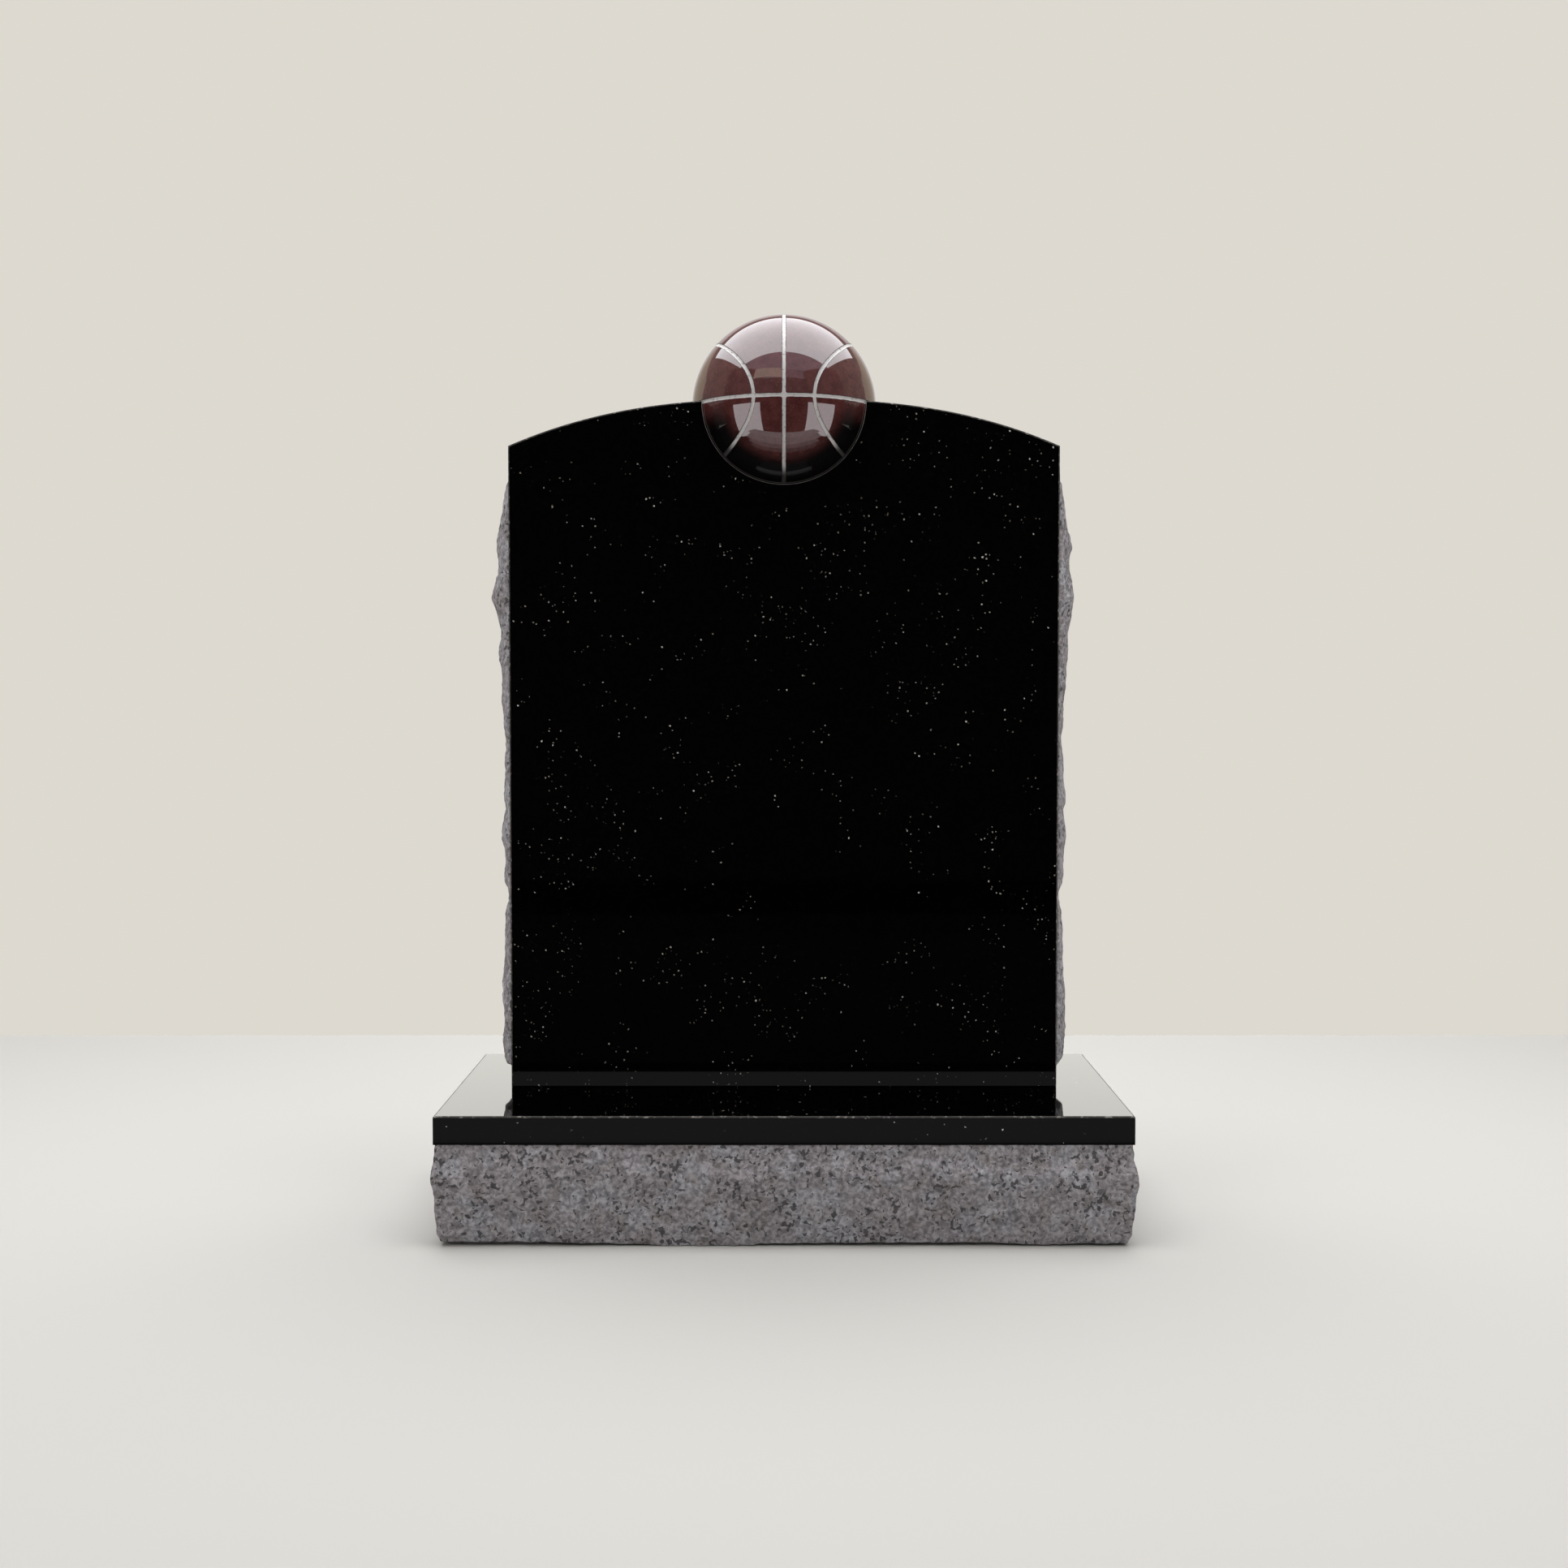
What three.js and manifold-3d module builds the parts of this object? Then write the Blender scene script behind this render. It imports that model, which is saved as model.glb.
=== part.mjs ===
// Upright granite headstone. A polished tablet with an arched top and rock-pitched sides stands on a low
// base, and a polished ball of red granite is sunk in a round socket cut through the tablet's top.
// Millimetres, +Z up, the front faces -Y. The origin is the middle of the base's underside.

import * as THREE from 'three';
import { mergeVertices } from 'three/addons/utils/BufferGeometryUtils.js';
import Module from 'manifold-3d';

const wasm = await Module();
wasm.setup();

// Base
const BASE_WIDTH = 609.6;
const BASE_DEPTH = 304.8;
const BASE_HEIGHT = 115;
const BASE_MARGIN = 25;
const BASE_ARRIS = 1.5;

// Tablet. The arch falls from the middle to each shoulder as a power of the distance.
const TABLET_WIDTH = 507.5;
const TABLET_THICKNESS = 88.9;
const SHOULDER_HEIGHT = 594;
const ARCH_RISE = 43;
const ARCH_POWER = 2.56;
const TABLET_ARRIS = 1.2;
const FRONT_LEDGE = 127.3;
const HEAD_STRIP = 32;
const FOOT_STRIP = 20;

// Ball and the seams cut in it. A seam's sides slope from its floor through its width at the ball's
// surface, and the cutter stands as far above the surface as the seam is deep.
const BALL_RADIUS = 86.5;
const BALL_SINK = 2.8;
const SEAM_WIDTH = 3.8;
const SEAM_FLOOR = 2.2;
const SEAM_DEPTH = 0.8;

// A side seam runs on the ball where |x| = SEAM_WAIST + SEAM_BOW z^2, in radii of the ball.
const SEAM_WAIST = 0.32;
const SEAM_BOW = 0.96;

// Joints between the stones
const BED_JOINT = 0.3;
const SOCKET_CLEARANCE = 0.4;
const SETTING_MARGIN = 2;

// Rock pitching of the tablet's sides. Each lump is placed and spread as a share of the rough length.
const SIDE_REACH = 9.6;
const SIDE_ROUNDNESS = 0.55;
const SIDE_ROUGHNESS = 1.5;
const SIDE_LUMPS = [
  { at: 0.03, rise: 2.4, spread: 0.03 },
  { at: 0.12, rise: 2, spread: 0.05 },
  { at: 0.29, rise: -6, spread: 0.019 },
  { at: 0.394, rise: 4, spread: 0.024 },
  { at: 0.555, rise: -3, spread: 0.02 },
  { at: 0.7, rise: 3.4, spread: 0.05 },
  { at: 0.805, rise: 10, spread: 0.05 },
  { at: 0.895, rise: 6, spread: 0.03 },
];
const SIDE_HEAD_RUN = 36;
const SIDE_FOOT_RUN = 4;

// Rock pitching of the base: how far the face stands out at a share of its height, from the foot up.
const BASE_PROFILE = [
  [0, -5],
  [0.12, -3],
  [0.42, 0],
  [0.7, 2.4],
  [0.88, -0.6],
  [1, -1.6],
];
const BASE_ROUGHNESS = 2.4;
const BASE_ROUNDNESS = 0.7;
const BASE_PROUD_LIMIT = 4.2;
const FOOT_UNDERCUT = 9;
const FOOT_LIFT = 1.6;

// Sizes of the lumps and scallops in the broken faces. A scallop counts SCALLOP_WEIGHT times as much as a
// lump, and RELIEF_LEVEL brings their sum to about zero.
const LUMP_LENGTH = 58;
const SCALLOP_LENGTH = 44;
const SCALLOP_WEIGHT = 2.4;
const RELIEF_LEVEL = 0.8;

// Which of the repeatable patterns each kind of relief takes, and the factors that scatter their numbers
const LUMP_SEED = 3;
const SCALLOP_SEED = 5;
const FOOT_SEED = 11;
const SCATTER = { i: 374761393, j: 668265263, k: 1103515245, seed: 1442695041, last: 1274126177 };
const WORD = 2 ** 32;

// Fineness of the facets
const SIDE_ROWS = 42;
const SIDE_COLUMNS = 6;
const ARCH_STEPS = 28;
const BASE_ROWS = 7;
const BASE_STEP = 21;
const BALL_SEGMENTS = 40;
const SEAM_STEPS = 44;

// Places worked out from the sizes above
const TABLET_FRONT = -BASE_DEPTH / 2 + FRONT_LEDGE;
const TABLET_MIDDLE = TABLET_FRONT + TABLET_THICKNESS / 2;
const TABLET_FOOT = BASE_HEIGHT + BED_JOINT;
const TABLET_APEX = TABLET_FOOT + SHOULDER_HEIGHT + ARCH_RISE;
const BALL_CENTRE = new THREE.Vector3(0, TABLET_MIDDLE, TABLET_APEX - BALL_SINK);

// Broken stone

// A repeatable number from 0 to 1 for a point of a whole-number lattice.
function latticeValue(i, j, k, seed) {
  const place = Math.imul(i, SCATTER.i) ^ Math.imul(j, SCATTER.j) ^ Math.imul(k, SCATTER.k);
  const first = place ^ Math.imul(seed, SCATTER.seed);
  const mixed = Math.imul(first ^ (first >>> 13), SCATTER.last);
  return ((mixed ^ (mixed >>> 16)) >>> 0) / WORD;
}

// Smooth noise from -1 to 1 with one lump to a lattice cell.
function lumps(x, y, z, seed) {
  const cell = [Math.floor(x), Math.floor(y), Math.floor(z)];
  const eased = [x, y, z].map((value, axis) => THREE.MathUtils.smoothstep(value - cell[axis], 0, 1));
  let sum = 0;
  for (let corner = 0; corner < 8; corner += 1) {
    const step = [corner & 1, (corner >> 1) & 1, corner >> 2];
    const weight = step.reduce((product, on, axis) => product * (on ? eased[axis] : 1 - eased[axis]), 1);
    sum += weight * latticeValue(cell[0] + step[0], cell[1] + step[1], cell[2] + step[2], seed);
  }
  return 2 * sum - 1;
}

// Shallow bowls with ridges between them, as chips leave: 0 in the middle of a bowl, near 1 on a ridge.
function scallops(x, y, z, seed) {
  const cell = [Math.floor(x), Math.floor(y), Math.floor(z)];
  let nearest = 1;
  for (let a = cell[0] - 1; a <= cell[0] + 1; a += 1) {
    for (let b = cell[1] - 1; b <= cell[1] + 1; b += 1) {
      for (let c = cell[2] - 1; c <= cell[2] + 1; c += 1) {
        const dx = a + latticeValue(a, b, c, seed) - x;
        const dy = b + latticeValue(a, b, c, seed + 1) - y;
        const dz = c + latticeValue(a, b, c, seed + 2) - z;
        nearest = Math.min(nearest, dx * dx + dy * dy + dz * dz);
      }
    }
  }
  return nearest;
}

// Lumps and scallops of broken stone at a point, in millimetres either side of zero for a roughness of one.
function brokenRelief(x, y, z) {
  const swell = lumps(x / LUMP_LENGTH, y / LUMP_LENGTH, z / LUMP_LENGTH, LUMP_SEED);
  const chips = scallops(x / SCALLOP_LENGTH, y / SCALLOP_LENGTH, z / SCALLOP_LENGTH, SCALLOP_SEED);
  return swell + SCALLOP_WEIGHT * chips - RELIEF_LEVEL;
}

// The value at a share of the way along a short list of [share, value] points, eased between them.
function alongProfile(points, share) {
  const next = points.findIndex(([place]) => place >= share);
  if (next <= 0) {
    return points[0][1];
  }
  const [low, from] = points[next - 1];
  const [high, to] = points[next];
  return THREE.MathUtils.lerp(from, to, THREE.MathUtils.smoothstep(share, low, high));
}

// Closed meshes

// A closed body through rings of equally many points, with a flat fan over each end. The rings run
// counterclockwise as seen looking back along the stack.
function bodyThroughRings(rings) {
  const count = rings[0].length;
  const points = rings.flat();
  const indices = [];
  for (let ring = 0; ring < rings.length - 1; ring += 1) {
    for (let step = 0; step < count; step += 1) {
      const a = ring * count + step;
      const b = ring * count + (step + 1) % count;
      indices.push(a, b, b + count, a, b + count, a + count);
    }
  }
  const last = (rings.length - 1) * count;
  const centreOf = (ring) => ring.reduce((sum, p) => sum.add(p), new THREE.Vector3()).divideScalar(count);
  points.push(centreOf(rings[0]), centreOf(rings.at(-1)));
  for (let step = 0; step < count; step += 1) {
    const next = (step + 1) % count;
    indices.push(points.length - 2, next, step);
    indices.push(points.length - 1, last + step, last + next);
  }
  const geometry = new THREE.BufferGeometry().setFromPoints(points);
  geometry.setIndex(indices);
  return geometry;
}

// A ring swept round a closed path of [point, outward direction] pairs, joined end to end.
function closedSweep(path, section) {
  const points = [];
  const indices = [];
  const count = section.length;
  path.forEach(([point, outward], step) => {
    const ahead = path[(step + 1) % path.length][0];
    const behind = path[(step + path.length - 1) % path.length][0];
    const along = ahead.clone().sub(behind);
    const across = new THREE.Vector3().crossVectors(along, outward).normalize();
    for (const [side, rise] of section) {
      points.push(point.clone().addScaledVector(across, side).addScaledVector(outward, rise));
    }
    for (let corner = 0; corner < count; corner += 1) {
      const a = step * count + corner;
      const b = step * count + (corner + 1) % count;
      const c = ((step + 1) % path.length) * count + corner;
      const d = ((step + 1) % path.length) * count + (corner + 1) % count;
      indices.push(a, d, b, a, c, d);
    }
  });
  const geometry = new THREE.BufferGeometry().setFromPoints(points);
  geometry.setIndex(indices);
  return geometry;
}

function solidFrom(geometry) {
  const bare = geometry.clone();
  bare.deleteAttribute('normal');
  bare.deleteAttribute('uv');
  const merged = mergeVertices(bare, 1e-4);
  return new wasm.Manifold(new wasm.Mesh({
    numProp: 3,
    vertProperties: new Float32Array(merged.attributes.position.array),
    triVerts: new Uint32Array(merged.index.array),
  }));
}

function geometryFrom(solid) {
  const mesh = solid.getMesh();
  const geometry = new THREE.BufferGeometry();
  geometry.setAttribute('position', new THREE.BufferAttribute(mesh.vertProperties, 3));
  geometry.setIndex(new THREE.BufferAttribute(mesh.triVerts, 1));
  return geometry;
}

function namedMesh(name, geometry, material) {
  geometry.computeVertexNormals();
  const mesh = new THREE.Mesh(geometry, material);
  mesh.name = name;
  return mesh;
}

// Base

// Points round a square from -1 to 1, counterclockwise from above, spaced to suit the base's sides.
function squareShares() {
  const corners = [[-1, -1], [1, -1], [1, 1], [-1, 1]];
  return corners.flatMap(([fromX, fromY], side) => {
    const [toX, toY] = corners[(side + 1) % corners.length];
    const steps = Math.ceil((fromY === toY ? BASE_WIDTH : BASE_DEPTH) / BASE_STEP);
    return Array.from({ length: steps }, (_, step) => [
      THREE.MathUtils.lerp(fromX, toX, step / steps),
      THREE.MathUtils.lerp(fromY, toY, step / steps),
    ]);
  });
}

// One ring of the base's outline. reachAt gives how far the outline stands out beyond the nominal block
// at a point of it, and liftAt how far it stands above the level z.
function baseRing(z, reachAt, liftAt = () => 0) {
  const halfWidth = BASE_WIDTH / 2;
  const halfDepth = BASE_DEPTH / 2;
  return squareShares().map(([shareX, shareY]) => {
    const x = shareX * halfWidth;
    const y = shareY * halfDepth;
    const reach = reachAt(x, y, z);
    return new THREE.Vector3(shareX * (halfWidth + reach), shareY * (halfDepth + reach), z + liftAt(x, y));
  });
}

// The line on the base's top that the tablet is set inside.
function settingRing() {
  const halfWidth = TABLET_WIDTH / 2 + SETTING_MARGIN;
  const halfDepth = TABLET_THICKNESS / 2 + SETTING_MARGIN;
  return squareShares().map(([x, y]) => (
    new THREE.Vector3(x * halfWidth, TABLET_MIDDLE + y * halfDepth, BASE_HEIGHT)
  ));
}

function baseGeometry() {
  const rockHeight = BASE_HEIGHT - BASE_MARGIN;
  const rockReach = (x, y, z) => {
    const share = THREE.MathUtils.clamp(z / rockHeight, 0, 1);
    const round = Math.sin(Math.PI * share) ** BASE_ROUNDNESS;
    const relief = BASE_ROUGHNESS * round * brokenRelief(x, y, z);
    return Math.min(alongProfile(BASE_PROFILE, share) + relief, BASE_PROUD_LIMIT);
  };
  const footLift = (x, y) => FOOT_LIFT * (1 + lumps(x / LUMP_LENGTH, y / LUMP_LENGTH, 0, FOOT_SEED));
  const rings = [
    baseRing(0, () => BASE_PROFILE[0][1] - FOOT_UNDERCUT),
    baseRing(0, rockReach, footLift),
  ];
  for (let row = 1; row <= BASE_ROWS; row += 1) {
    rings.push(baseRing(rockHeight * row / BASE_ROWS, rockReach));
  }
  rings.push(
    baseRing(rockHeight, () => 0),
    baseRing(BASE_HEIGHT - BASE_ARRIS, () => 0),
    baseRing(BASE_HEIGHT, () => -BASE_ARRIS),
    settingRing(),
  );
  return bodyThroughRings(rings);
}

// Tablet

// How far a rough side stands out, for a height above the tablet's foot and a share of the way from the
// front edge to the back edge. The large lumps of the two sides mirror each other.
function sideReach(side, height, across) {
  const length = SHOULDER_HEIGHT - HEAD_STRIP - FOOT_STRIP;
  const above = height - FOOT_STRIP;
  const below = length - above;
  if (above <= 0 || below <= 0) {
    return 0;
  }
  let reach = SIDE_REACH;
  for (const { at, rise, spread } of SIDE_LUMPS) {
    reach += rise * Math.exp(-(((above / length - at) / spread) ** 2));
  }
  reach *= THREE.MathUtils.smoothstep(above, -SIDE_FOOT_RUN, SIDE_FOOT_RUN);
  reach *= THREE.MathUtils.smoothstep(below, -SIDE_HEAD_RUN, SIDE_HEAD_RUN);
  const round = Math.sin(Math.PI * across) ** SIDE_ROUNDNESS;
  const relief = brokenRelief(side * TABLET_WIDTH / 2, across * TABLET_THICKNESS, height);
  return round * (reach + SIDE_ROUGHNESS * relief);
}

// Heights of the outline's points up one side: the flush foot, the rough stretch and the flush head.
function sideHeights() {
  const heights = [0];
  const top = SHOULDER_HEIGHT - HEAD_STRIP;
  for (let row = 0; row <= SIDE_ROWS; row += 1) {
    heights.push(THREE.MathUtils.lerp(FOOT_STRIP, top, row / SIDE_ROWS));
  }
  heights.push(SHOULDER_HEIGHT);
  return heights;
}

// The tablet's outline at one depth, clockwise as seen from the front. inset draws the outline in all
// round except at the foot, and across is the share of the way through the rough side.
function tabletRing(depth, inset, across) {
  const half = TABLET_WIDTH / 2 - inset;
  const sideLine = (side) => sideHeights().map((height) => {
    const x = side * (half + sideReach(side, height, across));
    return new THREE.Vector3(x, depth, Math.min(height, SHOULDER_HEIGHT - inset));
  });
  const arch = [];
  for (let step = 1; step < ARCH_STEPS; step += 1) {
    const x = THREE.MathUtils.lerp(-half, half, step / ARCH_STEPS);
    const fall = ARCH_RISE * Math.abs(x / half) ** ARCH_POWER;
    arch.push(new THREE.Vector3(x, depth, SHOULDER_HEIGHT + ARCH_RISE - fall - inset));
  }
  return [...sideLine(-1), ...arch, ...sideLine(1).reverse()];
}

function tabletSlab() {
  const rings = [tabletRing(0, TABLET_ARRIS, 0)];
  for (let column = 0; column <= SIDE_COLUMNS; column += 1) {
    const across = column / SIDE_COLUMNS;
    const depth = THREE.MathUtils.lerp(TABLET_ARRIS, TABLET_THICKNESS - TABLET_ARRIS, across);
    rings.push(tabletRing(depth, 0, across));
  }
  rings.push(tabletRing(TABLET_THICKNESS, TABLET_ARRIS, 1));
  return bodyThroughRings(rings).translate(0, TABLET_FRONT, TABLET_FOOT);
}

// The ball and its socket have the same facets, so the clearance between them is even.
function ballSphere(radius) {
  const sphere = new THREE.SphereGeometry(radius, BALL_SEGMENTS, BALL_SEGMENTS / 2);
  return sphere.rotateX(Math.PI / 2).translate(BALL_CENTRE.x, BALL_CENTRE.y, BALL_CENTRE.z);
}

function tabletGeometry() {
  const socket = solidFrom(ballSphere(BALL_RADIUS + SOCKET_CLEARANCE));
  return geometryFrom(solidFrom(tabletSlab()).subtract(socket));
}

// Ball

// A great circle through the two directions given, as outward directions round the ball.
function greatCircle(first, second) {
  return Array.from({ length: SEAM_STEPS }, (_, step) => {
    const turn = 2 * Math.PI * step / SEAM_STEPS;
    return first.clone().multiplyScalar(Math.cos(turn)).addScaledVector(second, Math.sin(turn));
  });
}

// The bowed seam on one side of the ball, side being -1 or 1. Its top and foot are where the bowed line
// meets the ball's outline, at y = 0.
function sideSeam(side) {
  const a = SEAM_BOW ** 2;
  const b = 2 * SEAM_WAIST * SEAM_BOW + 1;
  const c = SEAM_WAIST ** 2 - 1;
  const top = Math.sqrt((Math.sqrt(b * b - 4 * a * c) - b) / (2 * a));
  return Array.from({ length: SEAM_STEPS }, (_, step) => {
    const turn = 2 * Math.PI * step / SEAM_STEPS;
    const z = top * Math.sin(turn);
    const x = SEAM_WAIST + SEAM_BOW * z * z;
    const y = -Math.sign(Math.cos(turn)) * Math.sqrt(Math.max(1 - x * x - z * z, 0));
    return new THREE.Vector3(side * x, y, z).normalize();
  });
}

function ballGeometry() {
  const acrossX = new THREE.Vector3(1, 0, 0);
  const acrossY = new THREE.Vector3(0, 1, 0);
  const upright = new THREE.Vector3(0, 0, 1);
  const seams = [greatCircle(acrossX, acrossY), greatCircle(acrossY, upright), sideSeam(-1), sideSeam(1)];
  const floor = SEAM_FLOOR / 2;
  const mouth = SEAM_WIDTH - floor;
  const section = [[-floor, -SEAM_DEPTH], [floor, -SEAM_DEPTH], [mouth, SEAM_DEPTH], [-mouth, SEAM_DEPTH]];
  let ball = solidFrom(ballSphere(BALL_RADIUS));
  for (const seam of seams) {
    const path = seam.map((outward) => {
      const point = outward.clone().multiplyScalar(BALL_RADIUS).add(BALL_CENTRE);
      return [point, outward];
    });
    ball = ball.subtract(solidFrom(closedSweep(path, section)));
  }
  return geometryFrom(ball);
}

// Stones
const blackGranite = new THREE.MeshStandardMaterial({ color: 0x0b0b0c, roughness: 0.08, metalness: 0 });
const pitchedGranite = new THREE.MeshStandardMaterial({ color: 0x6b676c, roughness: 0.85, metalness: 0 });
const redGranite = new THREE.MeshStandardMaterial({ color: 0x4a2220, roughness: 0.06, metalness: 0 });

const headstone = new THREE.Group();
headstone.add(
  namedMesh('tablet', tabletGeometry(), blackGranite),
  namedMesh('base', baseGeometry(), pitchedGranite),
  namedMesh('ball', ballGeometry(), redGranite),
);

export default headstone;
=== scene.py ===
"""Looks of an upright granite headstone: a polished tablet with an arched top and rock-pitched sides, a
low base with a polished top and margin, and a polished red granite ball sunk in the tablet's top.

Metres, +Z up, the front faces -Y, and the origin is the middle of the base's underside.
"""

import logging
import math
from dataclasses import dataclass
from enum import Enum

import bmesh
import bpy
import numpy as np
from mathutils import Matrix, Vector


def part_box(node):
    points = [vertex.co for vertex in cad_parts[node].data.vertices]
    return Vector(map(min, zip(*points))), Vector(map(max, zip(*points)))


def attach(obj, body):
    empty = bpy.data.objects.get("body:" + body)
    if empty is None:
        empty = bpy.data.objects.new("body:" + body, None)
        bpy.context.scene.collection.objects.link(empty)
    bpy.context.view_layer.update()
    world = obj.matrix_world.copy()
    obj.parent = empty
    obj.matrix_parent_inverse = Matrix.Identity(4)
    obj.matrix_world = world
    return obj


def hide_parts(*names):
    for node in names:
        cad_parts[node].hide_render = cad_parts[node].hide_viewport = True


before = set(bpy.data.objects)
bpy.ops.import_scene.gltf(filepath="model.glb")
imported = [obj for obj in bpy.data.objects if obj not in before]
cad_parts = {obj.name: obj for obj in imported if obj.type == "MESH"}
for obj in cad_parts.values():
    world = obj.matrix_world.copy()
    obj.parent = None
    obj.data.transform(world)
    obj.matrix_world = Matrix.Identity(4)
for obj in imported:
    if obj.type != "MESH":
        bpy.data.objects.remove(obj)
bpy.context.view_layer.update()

LOG = logging.getLogger("headstone")
MILLIMETRE = 0.001
HASH_STEPS = (374761393, 668265263, 1103515245, 1442695041)
HASH_FACTOR = 1274126177
Socket = bpy.types.NodeSocket
Node = bpy.types.Node
Piece = bpy.types.Object
WHITE = (1.0, 1.0, 1.0)


class Finish(Enum):
    """The ways that a face of the granite is left."""

    POLISHED = 0
    PITCHED = 1
    HONED = 2
    # The socket's ground rim strips, whose pale tone is a painted highlight.
    GROUND_RIM = 3


# Broken stone


@dataclass(frozen=True)
class BrokenStone:
    """The lumps and scallops of rock-pitched stone, by the same rule as the solids follow."""

    lump_length: float = 58.0
    scallop_length: float = 44.0
    lump_seed: int = 3
    scallop_seed: int = 5
    scallop_weight: float = 2.4
    level: float = 0.8

    @staticmethod
    def lattice(cell: np.ndarray, seed: int) -> np.ndarray:
        """Gives a repeatable number from 0 to 1 for each point of a whole-number lattice.

        Args:
            cell: lattice points, as whole numbers in the last axis.
            seed: which set of numbers to give.

        Returns:
            One number for each lattice point.
        """
        i, j, k = (cell[..., axis].astype(np.int64) * HASH_STEPS[axis] for axis in range(3))
        word = (i ^ j ^ k ^ (seed * HASH_STEPS[3])).astype(np.uint64) & np.uint64(0xFFFFFFFF)
        word = (word ^ (word >> np.uint64(13))) * np.uint64(HASH_FACTOR) & np.uint64(0xFFFFFFFF)
        return (word ^ (word >> np.uint64(16))) / 2.0**32

    def lumps(self, points: np.ndarray, seed: int) -> np.ndarray:
        """Gives smooth noise from -1 to 1 with one lump to a lattice cell.

        Args:
            points: places in lattice units.
            seed: which noise to give.

        Returns:
            The noise at each place.
        """
        cell = np.floor(points)
        eased = smooth_share(points - cell)
        total = np.zeros(points.shape[:-1])
        for corner in range(8):
            step = np.array([corner & 1, (corner >> 1) & 1, corner >> 2])
            weight = np.prod(np.where(step == 1, eased, 1 - eased), axis=-1)
            total += weight * self.lattice(cell + step, seed)
        return 2 * total - 1

    def scallops(self, points: np.ndarray, seed: int) -> np.ndarray:
        """Gives shallow bowls with ridges between them, as chips leave.

        Args:
            points: places in lattice units.
            seed: which bowls to give.

        Returns:
            0 in the middle of a bowl and near 1 on a ridge.
        """
        cell = np.floor(points)
        nearest = np.ones(points.shape[:-1])
        for offset in np.ndindex(3, 3, 3):
            near = cell + np.array(offset) - 1
            middle = near + np.stack([self.lattice(near, seed + axis) for axis in range(3)], axis=-1)
            nearest = np.minimum(nearest, ((middle - points) ** 2).sum(axis=-1))
        return nearest

    def relief(self, points: np.ndarray) -> np.ndarray:
        """Gives lumps and scallops together at places in metres, either side of zero, for a roughness of one.

        Args:
            points: places in metres.

        Returns:
            The relief at each place, with no unit.
        """
        scaled = points / MILLIMETRE
        swell = self.lumps(scaled / self.lump_length, self.lump_seed)
        chips = self.scallops(scaled / self.scallop_length, self.scallop_seed)
        return swell + self.scallop_weight * chips - self.level


def smooth_share(share: np.ndarray) -> np.ndarray:
    """Eases a share from 0 to 1, flat at both ends."""
    held = np.clip(share, 0, 1)
    return held * held * (3 - 2 * held)


def along_profile(points: tuple[tuple[float, float], ...], share: np.ndarray) -> np.ndarray:
    """Gives the value at a share of the way along a short list, eased between its points.

    Args:
        points: pairs of share and value, in rising order of share.
        share: where to read the list.

    Returns:
        The value at each share.
    """
    value = np.full(share.shape, points[0][1])
    for (low, start), (high, end) in zip(points, points[1:]):
        part = start + (end - start) * smooth_share((share - low) / (high - low))
        value = np.where(share > low, part, value)
    return value


def points_at(x: object, y: object, z: object) -> np.ndarray:
    """Gives points by their coordinates, any of which can be one number for all."""
    return np.stack(np.broadcast_arrays(x, y, z), axis=-1)


# Meshes


def add_object(name: str, data: bpy.types.ID) -> Piece:
    """Adds an object to the scene."""
    made = bpy.data.objects.new(name, data)
    bpy.context.scene.collection.objects.link(made)
    return made


def read_all(items: object, name: str, kind: type) -> np.ndarray:
    """Reads one property of every item of a mesh."""
    values = np.empty(len(items), kind)
    items.foreach_get(name, values)
    return values


def mesh_through_rings(name: str, rings: np.ndarray, finish: np.ndarray, ends: tuple[Finish, Finish],
                       share: np.ndarray) -> Piece:
    """Makes a closed body through rings of equally many points, with a flat face over each end.

    Args:
        name: the piece's name.
        rings: points by ring, step and axis, counterclockwise as seen looking back along the stack.
        finish: by strip and step, the value of that face's finish. A strip joins two rings.
        ends: the finishes of the first and the last end.
        share: by ring and step, how much of the fine relief that point takes.

    Returns:
        The new object, at the origin, with its faces pointing outwards.
    """
    ring_count, count = rings.shape[:2]
    start = np.arange(ring_count - 1)[:, None] * count
    step = np.arange(count)[None, :]
    after = (step + 1) % count
    quads = np.stack([start + step, start + after, start + count + after, start + count + step], axis=-1)
    faces = [*quads.reshape(-1, 4).tolist()]
    faces.append(list(range(count))[::-1])
    faces.append(list(range((ring_count - 1) * count, ring_count * count)))
    mesh = bpy.data.meshes.new(name)
    mesh.from_pydata(rings.reshape(-1, 3).tolist(), [], faces)
    kinds = mesh.attributes.new("finish", "INT", "FACE")
    kinds.data.foreach_set("value", np.append(finish.ravel(), [end.value for end in ends]).astype(np.int32))
    amount = mesh.attributes.new("pitch_share", "FLOAT", "POINT")
    amount.data.foreach_set("value", share.ravel().astype(np.float32))
    mesh.update()
    return add_object(name, mesh)


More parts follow.
